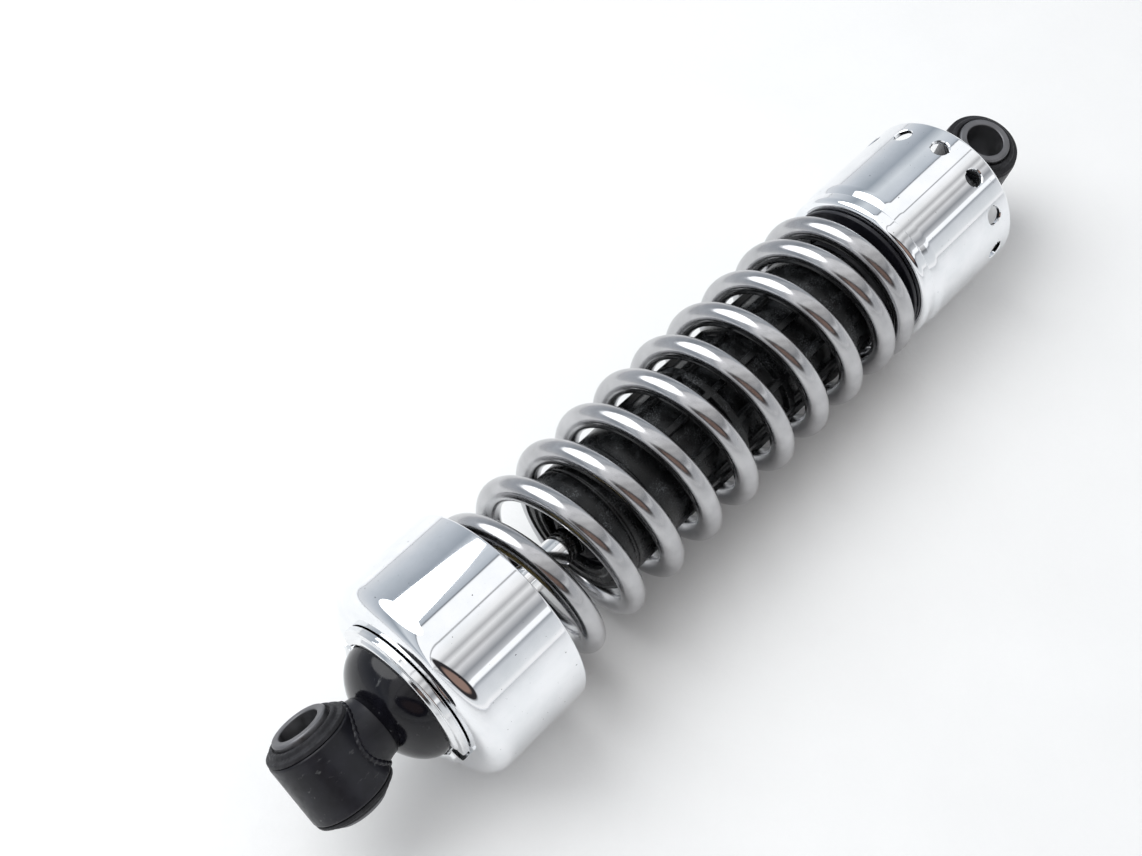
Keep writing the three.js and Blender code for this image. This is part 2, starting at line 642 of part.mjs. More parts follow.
class SpringCurve extends THREE.Curve {
  getPoint(t, target = new THREE.Vector3()) {
    const turn = SPRING_TIP_COVER + (SPRING_TIP_SEAT - SPRING_TIP_COVER) * t;
    const angle = 2 * Math.PI * turn;
    return target.set(springX(turn), SPRING_RADIUS * Math.cos(angle), SPRING_RADIUS * Math.sin(angle));
  }
}
const springCurve = new SpringCurve();
springCurve.arcLengthDivisions = 4000;
const wireSection = new THREE.Shape();
for (let i = 0; i < WIRE_SIDES; i += 1) {
  const angle = (i / WIRE_SIDES) * 2 * Math.PI;
  const point = [WIRE_RADIUS * Math.cos(angle), WIRE_RADIUS * Math.sin(angle)];
  if (i === 0) {
    wireSection.moveTo(...point);
  } else {
    wireSection.lineTo(...point);
  }
}
wireSection.closePath();
const springGeometry = new THREE.ExtrudeGeometry(wireSection, {
  steps: Math.round((SPRING_TIP_SEAT - SPRING_TIP_COVER) * STEPS_PER_TURN),
  extrudePath: springCurve,
  bevelEnabled: false,
});
add('spring', closed(springGeometry), springSteel);

export default shock;
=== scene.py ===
"""Rear shock absorber: finished surfaces and materials around the fixed frame. Lengths in mm."""
import json

import bmesh
import bpy
import numpy as np
from mathutils import Matrix, Vector


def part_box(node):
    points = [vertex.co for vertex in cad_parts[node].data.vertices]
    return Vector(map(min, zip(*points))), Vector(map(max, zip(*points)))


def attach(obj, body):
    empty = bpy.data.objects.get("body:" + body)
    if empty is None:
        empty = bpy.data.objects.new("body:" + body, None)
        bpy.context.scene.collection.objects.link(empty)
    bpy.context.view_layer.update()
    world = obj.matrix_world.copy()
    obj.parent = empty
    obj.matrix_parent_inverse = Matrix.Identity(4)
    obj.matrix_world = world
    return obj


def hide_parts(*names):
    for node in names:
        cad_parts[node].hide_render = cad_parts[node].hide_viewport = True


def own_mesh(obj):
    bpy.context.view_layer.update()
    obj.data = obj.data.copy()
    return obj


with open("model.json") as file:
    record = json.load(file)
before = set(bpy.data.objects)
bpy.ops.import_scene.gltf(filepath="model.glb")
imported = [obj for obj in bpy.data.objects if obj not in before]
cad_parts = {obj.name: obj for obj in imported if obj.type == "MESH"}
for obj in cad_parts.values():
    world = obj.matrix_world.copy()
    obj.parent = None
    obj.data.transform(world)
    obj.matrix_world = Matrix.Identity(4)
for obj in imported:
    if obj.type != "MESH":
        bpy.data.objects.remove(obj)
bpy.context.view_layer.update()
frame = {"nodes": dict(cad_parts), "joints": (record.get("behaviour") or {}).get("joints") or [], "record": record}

MM = 0.001
TAU = 2 * np.pi

# ---- camera, settled before the pieces ----
CAMERA_PLACE = (-0.2197, -0.20346, 0.41474)
CAMERA_YAW, CAMERA_FALL, CAMERA_ROLL = 0.86445, 0.89103, -0.1429
CAMERA_LENS, CAMERA_SENSOR = 49.448, 36.0
CAMERA_SHIFT = (-0.00211, -0.00895)


def make_camera():
    """Looks along a direction given by yaw and fall, turned by a small roll about that
    direction."""
    forward = Vector((
        np.cos(CAMERA_YAW) * np.cos(CAMERA_FALL),
        np.sin(CAMERA_YAW) * np.cos(CAMERA_FALL),
        -np.sin(CAMERA_FALL),
    ))
    level = Vector((np.sin(CAMERA_YAW), -np.cos(CAMERA_YAW), 0))
    upright = level.cross(forward)
    right = np.cos(CAMERA_ROLL) * level + np.sin(CAMERA_ROLL) * upright
    up = -np.sin(CAMERA_ROLL) * level + np.cos(CAMERA_ROLL) * upright
    data = bpy.data.cameras.new("camera")
    data.sensor_width = CAMERA_SENSOR
    data.lens = CAMERA_LENS
    data.shift_x, data.shift_y = CAMERA_SHIFT
    data.clip_start = 0.005
    camera = bpy.data.objects.new("camera", data)
    turn = Matrix((right, up, -forward)).transposed()
    camera.matrix_world = Matrix.Translation(CAMERA_PLACE) @ turn.to_4x4()
    bpy.context.scene.collection.objects.link(camera)
    bpy.context.scene.camera = camera


# ---- places taken from the frame ----
# Every X below is counted along the damper from its own zero. The frame's X is SHIFT_X more.
SHIFT_X = 5.9


def span(node):
    """Start, end and half width of a round node along the damper axis, in mm."""
    low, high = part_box(node)
    return low.x / MM - SHIFT_X, high.x / MM - SHIFT_X, (high.y - low.y) / 2 / MM


rod_low, rod_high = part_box("piston_rod")
AXIS_Z = (rod_low.z + rod_high.z) / 2 / MM


def eye_of(joint_name):
    """Centre along X and pin direction of an eye, from its joint in the record."""
    joint = next(j for j in frame["joints"] if j["name"] == joint_name)
    return joint["pos_m"][0] / MM - SHIFT_X, np.array(joint["axis"], float)


def about_axis(x, radius, angle):
    """Points at x along the damper axis, at a radius from it and an angle about it."""
    across, up = radius * np.cos(angle), AXIS_Z + radius * np.sin(angle)
    return np.stack([x + 0 * across, across, up], -1)


ROD_EYE = eye_of("rod_end_twist")
BODY_EYE = eye_of("body_end_twist")


# ---- sheets of points ----
def rounded(corners, closed=True, steps=6, support=0.18):
    """Outline through (x, radius, fillet) corners. Each corner becomes an arc tangent to both
    sides, with one more point just past each end of the arc so that flats stay flat."""
    points = np.array([c[:2] for c in corners], float)
    fillets = [c[2] for c in corners]
    count = len(corners)
    outline = []
    for i in range(count):
        here = points[i]
        if fillets[i] == 0 or (not closed and i in (0, count - 1)):
            outline.append(here[None])
            continue
        back = points[i - 1] - here
        ahead = points[(i + 1) % count] - here
        back_length, ahead_length = np.linalg.norm(back), np.linalg.norm(ahead)
        back, ahead = back / back_length, ahead / ahead_length
        half = np.arccos(np.clip(back @ ahead, -1, 1)) / 2
        reach = min(fillets[i] / np.tan(half), 0.46 * back_length, 0.46 * ahead_length)
        radius = reach * np.tan(half)
        middle = here + (back + ahead) / np.linalg.norm(back + ahead) * radius / np.sin(half)
        first, last = here + back * reach, here + ahead * reach
        fan = np.linspace(0, 1, steps + 1)[:, None]
        bend = np.pi - 2 * half
        spread = np.sin((1 - fan) * bend) * (first - middle) + np.sin(fan * bend) * (last - middle)
        extra = min(support, 0.3 * reach + 0.02)
        outline.append((first + back * extra)[None])
        outline.append(middle + spread / np.sin(bend))
        outline.append((last + ahead * extra)[None])
    outline = np.concatenate(outline)
    return np.concatenate([outline, outline[:1]]) if closed else outline


def lathe(outline, columns=224):
    """Surface of revolution about the damper axis: each (x, radius) point goes round it."""
    angle = np.linspace(0, TAU, columns + 1)
    x, radius = outline[:, :1], outline[:, 1:]
    return about_axis(x, radius, angle)


def lathe_in_eye(outline, eye, columns=160):
    """The same revolution, about an eye's pin: (along the pin, radius)."""
    centre_x, pin = eye
    along_x = np.array([1.0, 0.0, 0.0])
    side = np.cross(pin, along_x)
    angle = np.linspace(0, TAU, columns + 1)
    along, radius = outline[:, 0], outline[:, 1]
    ring = np.cos(angle)[:, None] * along_x + np.sin(angle)[:, None] * side
    centre = np.array([centre_x, 0, AXIS_Z])
    return centre + along[:, None, None] * pin + radius[:, None, None] * ring


def quads_of(rows, columns):
    """Four-cornered faces of a sheet whose points are numbered row by row."""
    here = np.arange((rows - 1) * columns).reshape(rows - 1, columns)[:, :-1]
    return np.stack([here, here + 1, here + columns + 1, here + columns], -1).reshape(-1, 4)


def sew(sheets):
    """Joins sheets into one mesh: points closer than a hundredth of a hair become one, and a
    face whose side has shrunk to a point, as at a pole, becomes a triangle."""
    start, quads = 0, []
    for sheet in sheets:
        quads.append(quads_of(*sheet.shape[:2]) + start)
        start += sheet.shape[0] * sheet.shape[1]
    points = np.concatenate([s.reshape(-1, 3) for s in sheets])
    keys = np.round(points * 2000).astype(np.int64)
    _, first, name = np.unique(keys, axis=0, return_index=True, return_inverse=True)
    quads = name.reshape(-1)[np.concatenate(quads)]
    flat = quads == np.roll(quads, -1, axis=1)
    faces = quads[flat.sum(1) == 0].tolist()
    for k in range(4):
        short = quads[(flat.sum(1) == 1) & flat[:, k]]
        faces += short[:, [(k + 1) % 4, (k + 2) % 4, (k + 3) % 4]].tolist()
    return points[first], faces


def piece(name, sheets, look, body, nodes=(), cap=False, sharp=38):
    """One named piece: the sewn sheets, faced outwards, with its finish and its CAD body."""
    points, faces = sew(sheets)
    mesh = bpy.data.meshes.new(name)
    mesh.from_pydata(((points + (SHIFT_X, 0, 0)) * MM).tolist(), [], faces)
    shell = bmesh.new()
    shell.from_mesh(mesh)
    if cap:
        open_edges = [e for e in shell.edges if e.is_boundary]
        bmesh.ops.holes_fill(shell, edges=open_edges, sides=0)
    bmesh.ops.recalc_face_normals(shell, faces=shell.faces)
    shell.to_mesh(mesh)
    shell.free()
    mesh.shade_smooth()
    mesh.set_sharp_from_angle(angle=np.radians(sharp))
    mesh.materials.append(look)
    made = bpy.data.objects.new(name, mesh)
    bpy.context.scene.collection.objects.link(made)
    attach(made, body)
    if nodes:
        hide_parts(*nodes)
    return made


# ---- finishes ----
class Finish:
    """A material whose colour, roughness and relief come from noise on object coordinates."""

    def __init__(self, name, metallic, **sockets):
        self.material = bpy.data.materials.new(name)
        self.material.use_nodes = True
        self.nodes = self.material.node_tree.nodes
        self.links = self.material.node_tree.links
        self.shader = self.nodes["Principled BSDF"]
        self.shader.inputs["Metallic"].default_value = metallic
        for socket, value in sockets.items():
            self.shader.inputs[socket.replace("_", " ")].default_value = value
        self.place = self.nodes.new("ShaderNodeTexCoord").outputs["Object"]
        self.height = None

    def noise(self, size, detail=4.0, stretch=(1, 1, 1), roughness=0.55):
        """Noise whose features are about size mm across, longer where stretch is over 1."""
        mapping = self.nodes.new("ShaderNodeMapping")
        mapping.inputs["Scale"].default_value = [1 / s for s in stretch]
        self.links.new(self.place, mapping.inputs["Vector"])
        made = self.nodes.new("ShaderNodeTexNoise")
        made.inputs["Scale"].default_value = 1 / (size * MM)
        made.inputs["Detail"].default_value = detail
        made.inputs["Roughness"].default_value = roughness
        self.links.new(mapping.outputs["Vector"], made.inputs["Vector"])
        return made.outputs["Fac"]

    def ramp(self, value, stops):
        """Colour by value, from (place, colour) stops."""
        made = self.nodes.new("ShaderNodeValToRGB")
        elements = made.color_ramp.elements
        while len(elements) < len(stops):
            elements.new(0.5)
        for element, (place, colour) in zip(elements, stops):
            element.position = place
            element.color = (*colour, 1)
        self.links.new(value, made.inputs["Fac"])
        return made.outputs["Color"]

    def mix(self, share, first, second):
        made = self.nodes.new("ShaderNodeMix")
        made.data_type = "RGBA"
        self.links.new(share, made.inputs["Factor"])
        for socket, value in ((made.inputs[6], first), (made.inputs[7], second)):
            if isinstance(value, tuple):
                socket.default_value = (*value, 1)
            else:
                self.links.new(value, socket)
        return made.outputs[2]

    def colour(self, value):
        self.links.new(value, self.shader.inputs["Base Color"])
        return self

    def span(self, value, low, high, start=0.3, end=0.7):
        made = self.nodes.new("ShaderNodeMapRange")
        sockets = ("From Min", "From Max", "To Min", "To Max")
        for socket, number in zip(sockets, (start, end, low, high)):
            made.inputs[socket].default_value = number
        self.links.new(value, made.inputs["Value"])
        return made.outputs["Result"]

    def roughness(self, value):
        self.links.new(value, self.shader.inputs["Roughness"])
        return self

    def relief(self, value, depth, strength=1.0):
        """Adds bumps of about depth mm on top of those already there."""
        made = self.nodes.new("ShaderNodeBump")
        made.inputs["Distance"].default_value = depth * MM
        made.inputs["Strength"].default_value = strength
        self.links.new(value, made.inputs["Height"])
        if self.height is not None:
            self.links.new(self.height, made.inputs["Normal"])
        self.height = made.outputs["Normal"]
        self.links.new(self.height, self.shader.inputs["Normal"])
        return self


def grey(value, tint=0.0):
    """A grey, slightly blue where tint is above 0."""
    return (value * (1 - tint), value, value * (1 + tint))


def plated(name, bright, dull, smooth, hazy, pits=0.0):
    """Bright plating: faint cloudy haze, fine wiping marks along the part, and small dark pits."""
    made = Finish(name, 1.0)
    haze = made.noise(9, 5)
    tone = made.ramp(haze, [(0.35, dull), (0.62, bright)])
    specks = made.ramp(made.noise(0.9, 2), [(0.235 + pits, (1, 1, 1)), (0.26 + pits, (0, 0, 0))])
    made.colour(made.mix(specks, tone, grey(0.13)))
    made.roughness(made.span(made.noise(3, 6, (7, 1, 1)), smooth, hazy, 0.35, 0.75))
    made.relief(made.noise(22, 2), 0.02, 0.5)
    return made.material


def satin_plated(name):
    """Plating over drawn wire: pale, with a fine grain that breaks reflections up, and dull
    patches."""
    made = Finish(name, 1.0)
    tone = made.ramp(made.noise(7, 5), [(0.30, (0.44, 0.44, 0.45)), (0.70, (0.56, 0.56, 0.57))])
    stain = made.ramp(made.noise(0.7, 5), [(0.24, (1, 1, 1)), (0.30, (0, 0, 0))])
    made.colour(made.mix(stain, tone, (0.26, 0.23, 0.21)))
    made.roughness(made.span(made.noise(1.2, 5), 0.15, 0.21))
    made.relief(made.noise(0.3, 4), 0.01, 0.4)
    return made.material


def machined(name, tone, size=0.5, low=0.28, high=0.5):
    """Plain metal with turning marks around the axis and a little discolouring."""
    made = Finish(name, 1.0)
    dark = tuple(0.72 * c for c in tone)
    made.colour(made.ramp(made.noise(5, 5), [(0.32, dark), (0.66, tone)]))
    made.roughness(made.span(made.noise(2.5, 4), low, high))
    made.relief(made.noise(size, 3, (0.25, 4, 4)), 0.02, 0.5)
    return made.material


def enamel(name, tone, low, high, peel=0.05, worn=0.0):
    """Sprayed black: orange peel, duller patches, grey scuffs and a few bare specks."""
    made = Finish(name, 0.0, Coat_Weight=0.12, Coat_Roughness=0.12, Specular_IOR_Level=0.3)
    base = made.ramp(made.noise(6, 5), [(0.35, tone), (0.68, tuple(1.9 * c for c in tone))])
    scuff = made.ramp(made.noise(1.6, 6, (3, 1, 1)),
                      [(0.64 - worn, (0, 0, 0)), (0.76 - worn, (1, 1, 1))])
    made.colour(made.mix(scuff, base, grey(0.085, 0.03)))
    made.roughness(made.span(made.noise(2.2, 5), low, high))
    made.relief(made.noise(1.4, 2), peel, 0.4)
    return made.material


def rubbery(name, tone, bloom):
    """Moulded rubber: matt, with a grey bloom in patches and a fine skin texture."""
    made = Finish(name, 0.0, Sheen_Weight=0.05, Specular_IOR_Level=0.3)
    made.colour(made.ramp(made.noise(3.2, 6), [(0.36, tone), (0.7, bloom)]))
    made.roughness(made.span(made.noise(1.1, 5), 0.48, 0.8))
    made.relief(made.noise(0.35, 4), 0.03, 0.6)
    return made.material


def dusty_plastic(name):
    """Black moulding with pale dust settled in specks and smears."""
    made = Finish(name, 0.0, Specular_IOR_Level=0.3)
    base = made.ramp(made.noise(8, 4), [(0.35, grey(0.003, 0.08)), (0.7, grey(0.008, 0.06))])
    patches = made.span(made.noise(6, 4), 0.0, 0.75, 0.47, 0.66)
    specks = made.ramp(made.noise(0.38, 4), [(0.50, (0, 0, 0)), (0.64, (1, 1, 1))])
    both = made.nodes.new("ShaderNodeMath")
    both.operation = "MULTIPLY"
    made.links.new(patches, both.inputs[0])
    made.links.new(specks, both.inputs[1])
    made.colour(made.mix(both.outputs[0], base, grey(0.13, 0.06)))
    made.roughness(made.span(made.noise(3, 4), 0.2, 0.38))
    made.relief(made.noise(0.45, 3), 0.03, 0.4)
    return made.material


def moulded(name, tone, size, depth):
    """Plain coloured moulding with a cellular or smooth skin."""
    made = Finish(name, 0.0)
    made.colour(made.ramp(made.noise(4, 4), [(0.35, tuple(0.75 * c for c in tone)), (0.68, tone)]))
    made.roughness(made.span(made.noise(2, 4), 0.45, 0.75))
    made.relief(made.noise(size, 4), depth, 0.8)
    return made.material


FINISHES = {
    "chrome": plated("chrome", (0.93, 0.94, 0.96), (0.86, 0.88, 0.90), 0.025, 0.075),
    "spring_steel": satin_plated("spring_steel"),
    "polished_steel": plated("polished_steel", (0.90, 0.91, 0.92), (0.80, 0.81, 0.82), 0.06, 0.16),
    "hard_chrome": plated("hard_chrome", (0.92, 0.92, 0.92), (0.86, 0.86, 0.86), 0.04, 0.1),
    "dull_steel": machined("dull_steel", (0.22, 0.22, 0.23), 0.6, 0.4, 0.6),
    "black_enamel": enamel("black_enamel", (0.007, 0.007, 0.010), 0.3, 0.5, 0.05),
    "black_gloss": enamel("black_gloss", (0.004, 0.004, 0.006), 0.07, 0.2, 0.03),
    "rubber": rubbery("rubber", (0.009, 0.009, 0.011), (0.024, 0.024, 0.028)),
    "black_plastic": dusty_plastic("black_plastic"),
    "aluminium": machined("aluminium", (0.68, 0.69, 0.70)),
    "cam_steel": machined("cam_steel", (0.46, 0.47, 0.49), 0.8),
    "bearing_polymer": moulded("bearing_polymer", (0.10, 0.19, 0.15), 0.6, 0.02),
    "bump_foam": moulded("bump_foam", (0.55, 0.42, 0.15), 0.35, 0.12),
}


# ---- rod end ----
ROD_BODY, DAMPER, SEAT, ADJUSTER = "rod_assembly", "damper_body", "spring_seat", "adjuster"
EYE_RADIUS, EYE_BORE, EYE_HALF = 12.9, 11.0, 10.4
BUSH_HALF, SLEEVE_RADIUS, SLEEVE_BORE, SLEEVE_HALF = 13.4, 8.7, 6.3, 14.8
WELD_RADIUS = 1.15
BOSS_R, BOSS_END_X = 9.5, -122.8
BODY_NECK_R, BODY_NECK_X = 8.2, 113.0


def eye_ring():
    """Outline of the eye's ring: a plain band with broken outer edges."""
    return rounded([
        (-EYE_HALF, EYE_BORE, 0.3), (-EYE_HALF, EYE_RADIUS, 0.9),
        (EYE_HALF, EYE_RADIUS, 0.9), (EYE_HALF, EYE_BORE, 0.3),
    ])


def bush():
    """Outline of the rubber: a flange over the ring's edge, a groove, a soft shoulder and a
    shallow dish round the sleeve, the same at both ends."""
    bore, wide = SLEEVE_RADIUS + 0.05, EYE_BORE - 0.05
    half = [
        (EYE_HALF + 0.15, wide, 0.0), (EYE_HALF + 0.15, EYE_RADIUS - 0.2, 0.2),
        (EYE_HALF + 1.3, EYE_RADIUS - 0.4, 0.5), (EYE_HALF + 1.7, wide + 0.1, 0.5),
        (BUSH_HALF - 0.1, wide - 0.5, 0.9), (BUSH_HALF - 0.1, bore + 0.7, 0.3),
        (BUSH_HALF - 0.9, bore + 0.3, 0.2), (BUSH_HALF - 0.9, bore, 0.1),
    ]
    return rounded(half + [(-x, r, f) for x, r, f in reversed(half)])


def eye_sleeve():
    """Outline of the steel tube in the eye, with its edges broken inside and out."""
    return rounded([
        (-SLEEVE_HALF, SLEEVE_BORE, 0.45), (-SLEEVE_HALF, SLEEVE_RADIUS, 0.7),
        (SLEEVE_HALF, SLEEVE_RADIUS, 0.7), (SLEEVE_HALF, SLEEVE_BORE, 0.45),
    ])


def saddle(eye, facing, radius, columns=160):
    """Points on the ring's round outside, seen from the damper: at each angle, across the pin
    is radius times the sine, and X follows the ring's circle."""
    centre_x, pin = eye
    side = np.cross(pin, (1.0, 0.0, 0.0))
    angle = np.linspace(0, TAU, columns + 1)
    radius = np.asarray(radius, float)[:, None]
    across, along = radius * np.sin(angle), radius * np.cos(angle)
    reach = facing * np.sqrt((EYE_RADIUS - 0.5) ** 2 - across ** 2)
    centre = np.array([centre_x, 0, AXIS_Z])
    points = centre + across[..., None] * side + along[..., None] * pin
    points[..., 0] += reach
    return points, angle, side


def neck(eye, facing, radius, end_x):
    """Round neck: starts on the ring's outside, flares a little there and runs to end_x."""
    start, angle, side = saddle(eye, facing, np.linspace(0, radius + 1.2, 10))
    circle = np.cos(angle)[:, None] * eye[1] + np.sin(angle)[:, None] * side
    share = np.linspace(0, 1, 26)[1:, None, None]
    flare = radius + 1.2 * (1 - np.minimum(share * 3, 1)) ** 2
    run = np.array([eye[0], 0, AXIS_Z]) + flare * circle[None]
    run[..., 0] = start[-1][None, :, 0] + (end_x - start[-1][None, :, 0]) * share[..., 0]
    close = np.linspace(1, 0, 5)[1:, None, None] * radius * circle[None]
    close = close + np.array([end_x, 0, AXIS_Z])
    return [start, np.concatenate([start[-1:], run]), np.concatenate([run[-1:], close])]


def weld(eye, facing, radius):
    """Weld bead: a small circle carried round the line where neck and ring meet, its size
    rippling with each pass of the torch."""
    line, angle, side = saddle(eye, facing, [radius + 0.7], 320)
    around = np.linspace(0, TAU, 17)[:, None, None]
    outward = np.cos(angle)[:, None] * eye[1] + np.sin(angle)[:, None] * side
    size = WELD_RADIUS * (1 + 0.10 * np.sin(38 * angle) + 0.05 * np.sin(11 * angle + 1))
    size = size[None, :, None]
    forward = np.array([facing, 0.0, 0.0])
    return line + size * (np.cos(around) * outward[None] + np.sin(around) * forward)


def make_eye(prefix, eye, facing, radius, end_x, body, pivot, node):
    black = FINISHES["black_enamel"]
    ring = lathe_in_eye(eye_ring(), eye)
    piece(prefix + "_eye_ring", [ring], black, body, [node])
    piece(prefix + "_neck", neck(eye, facing, radius, end_x), black, body)
    piece(prefix + "_weld", [weld(eye, facing, radius)], black, body, sharp=80)
    rubber = lathe_in_eye(bush(), eye)
    piece(prefix + "_rubber", [rubber], FINISHES["rubber"], body, [prefix + "_bush"])
    tube = lathe_in_eye(eye_sleeve(), eye)
    piece(prefix + "_pin_tube", [tube], FINISHES["dull_steel"], pivot,
          [prefix + "_sleeve"])


COVER_X0, COVER_X1, COVER_R = span("spring_cover")
COVER_WALL, COVER_SHOULDER, COVER_HOLE = 1.6, 9.0, 19.6
COLLAR_X0, COLLAR_X1, COLLAR_R = span("collar_half_a")[0], span("collar_half_a")[1], 24.2
COLLAR_TURN, COLLAR_SPLIT, COLLAR_BORE, COLLAR_PLATE = np.radians(15), 5.0, 10.0, 1.8
DOME_X0, DOME_X1, DOME_R = span("rod_end_dome")


def make_cover():
    """Deep-drawn cup: flat end with a hole, large round shoulder, straight wall and a thin rim."""
    outline = rounded([
        (COVER_X0, COVER_HOLE, 0.4), (COVER_X0, COVER_R, COVER_SHOULDER),
        (COVER_X1, COVER_R, 0.7), (COVER_X1, COVER_R - COVER_WALL, 0.7),
        (COVER_X0 + COVER_WALL, COVER_R - COVER_WALL, COVER_SHOULDER - COVER_WALL),
        (COVER_X0 + COVER_WALL, COVER_HOLE, 0.4),
    ], steps=22)
    piece("cover_shell", [lathe(outline, 288)], FINISHES["chrome"], ROD_BODY,
          ["spring_cover"])


def make_collar():
    """Each half: a plate with a raised round lip, swept through just under half a turn. Its two
    ends are cut parallel, so the sweep starts at the angle whose sine is half the split over
    the radius. The lip sinks into the plate near both ends."""
    face = COLLAR_X1 - COLLAR_PLATE
    lip = face - COLLAR_X0
    outline = rounded([
        (COLLAR_X1, COLLAR_BORE, 0.2), (COLLAR_X1, COLLAR_R, 0.3), (face - 0.6, COLLAR_R, 0.5),
        (face - 0.7, DOME_R + 3.4, 0.3), (face - lip, DOME_R + 2.6, 0.8),
        (face - lip, DOME_R + 0.7, 0.8), (face, DOME_R + 0.4, 0.3), (face, COLLAR_BORE, 0.2),
    ], steps=8)
    x, radius = outline[:, :1], outline[:, 1:]
    gap = np.arcsin(COLLAR_SPLIT / 2 / radius)
    share = np.linspace(0, 1, 161)[None, :]
    sweep = gap + (np.pi - 2 * gap) * share
    rise = np.clip(np.minimum(share, 1 - share) / 0.05, 0, 1)
    rise = rise * rise * (3 - 2 * rise)
    raised = np.where(x < face - 0.75, face - 0.75 + (x - face + 0.75) * rise, x + 0 * rise)
    for letter, turn in (("a", COLLAR_TURN), ("b", COLLAR_TURN + np.pi)):
        angle = sweep + turn
        sheet = about_axis(raised, radius, angle)
        piece("collar_" + letter, [sheet], FINISHES["polished_steel"], ROD_BODY,
              ["collar_half_" + letter], cap=True)


def make_dome():
    """Pressed dome: a part of an ellipse turned about the axis, with a wall and an opening
    for the neck."""
    wall, opening = 1.2, BOSS_R + 0.2
    rise = np.linspace(0, np.arccos(opening / DOME_R), 30)
    depth = (DOME_X1 - DOME_X0) / np.sin(rise[-1])
    outer = np.stack([DOME_X1 - depth * np.sin(rise), DOME_R * np.cos(rise)], -1)
    inner = np.stack([DOME_X1 - (depth - wall) * np.sin(rise), (DOME_R - wall) * np.cos(rise)], -1)
    outline = np.concatenate([outer, inner[::-1], outer[:1]])
    piece("dome", [lathe(outline)], FINISHES["black_gloss"], ROD_BODY,
          ["rod_end_dome"])


ROD_X0, ROD_X1, ROD_R = span("piston_rod")
BUMP_X0, BUMP_X1, BUMP_R = span("bump_stop")


def turned(name, corners, slot, body, nodes, columns=192, steps=6):
    """A turned piece from its outline's corners."""
    return piece(name, [lathe(rounded(corners, steps=steps), columns)], FINISHES[slot], body,
                 nodes)


def make_rod():
    shoulder, spigot = -24.0, 4.0
    line = rounded([
        (ROD_X0, 0, 0), (ROD_X0, ROD_R, 0.5), (shoulder, ROD_R, 0.2), (shoulder, spigot, 0.2),
        (ROD_X1, spigot, 0.5), (ROD_X1, 0, 0),
    ], closed=False)
    piece("rod_bar", [lathe(line)], FINISHES["hard_chrome"], ROD_BODY,
          ["piston_rod"])
    bore = ROD_R + 0.35
    turned("bump_rubber", [
        (BUMP_X0, bore, 0.3), (BUMP_X0, BUMP_R, 1), (BUMP_X0 + 5, BUMP_R, 1.6),
        (BUMP_X0 + 7.6, BUMP_R - 2.8, 1.4), (BUMP_X0 + 10, BUMP_R - 1.8, 1.4),
        (BUMP_X1, 8.6, 1.8), (BUMP_X1, bore, 0.4),
    ], "bump_foam", ROD_BODY, ["bump_stop"])


# ---- damper body ----
TUBE_X0, TUBE_X1, TUBE_R = span("damper_tube")
TUBE_WALL = 1.5
CAP_X0, CAP_X1, CAP_BORE = 112.5, span("end_cap")[1], 7
WIPER_X0, WIPER_X1, WIPER_R = span("dust_wiper")
GUIDE_X0, GUIDE_X1, GUIDE_R = span("spring_guide")
GUIDE_LOW, GUIDE_RIBS = 17.9, 10
GUIDE_PLAIN_END, GUIDE_SKIRT = -25.0, 43.0


def make_tube():
    lip, bore = 11.0, TUBE_R - TUBE_WALL
    turned("tube_shell", [
        (TUBE_X0, lip, 0.3), (TUBE_X0, TUBE_R, 1.4), (TUBE_X1, TUBE_R, 0.2), (TUBE_X1, bore, 0.2),
        (TUBE_X0 + TUBE_WALL, bore, 0.4), (TUBE_X0 + TUBE_WALL, lip, 0.2),
    ], "black_enamel", DAMPER, ["damper_tube"])
    turned("tube_end", [
        (CAP_X0, CAP_BORE, 0.2), (CAP_X0, bore - 0.3, 0.2), (TUBE_X1 + 0.3, bore - 0.3, 0),
        (TUBE_X1 + 0.3, TUBE_R, 0.3), (CAP_X1, TUBE_R - 1, 3.6), (CAP_X1, CAP_BORE, 0.2),
    ], "black_enamel", DAMPER, ["end_cap"])
    turned("wiper_lip", [
        (WIPER_X1, ROD_R + 0.35, 0.1), (WIPER_X1, WIPER_R, 0.3),
        (WIPER_X0 + 1.6, WIPER_R - 0.4, 0.6),
        (WIPER_X0, ROD_R + 1.0, 0.25), (WIPER_X0, ROD_R + 0.35, 0.1),
    ], "rubber", DAMPER, ["dust_wiper"])


def around_breaks(low, high, step, breaks, width):
    """Even steps from low to high, with close extra steps on both sides of each break."""
    extra = np.array([-1, -0.5, 0, 0.5, 1]) * width
    every = np.concatenate([np.arange(low, high, step), [high],
                            np.add.outer(breaks, extra).ravel()])
    return np.unique(np.round(every[(every >= low) & (every <= high)], 5))


def band(value, low, high, edge):
    """1 between low and high and 0 outside, with a smooth edge."""
    up = np.clip((value - low) / edge + 0.5, 0, 1)
    down = np.clip((high - value) / edge + 0.5, 0, 1)
    both = np.minimum(up, down)
    return both * both * (3 - 2 * both)


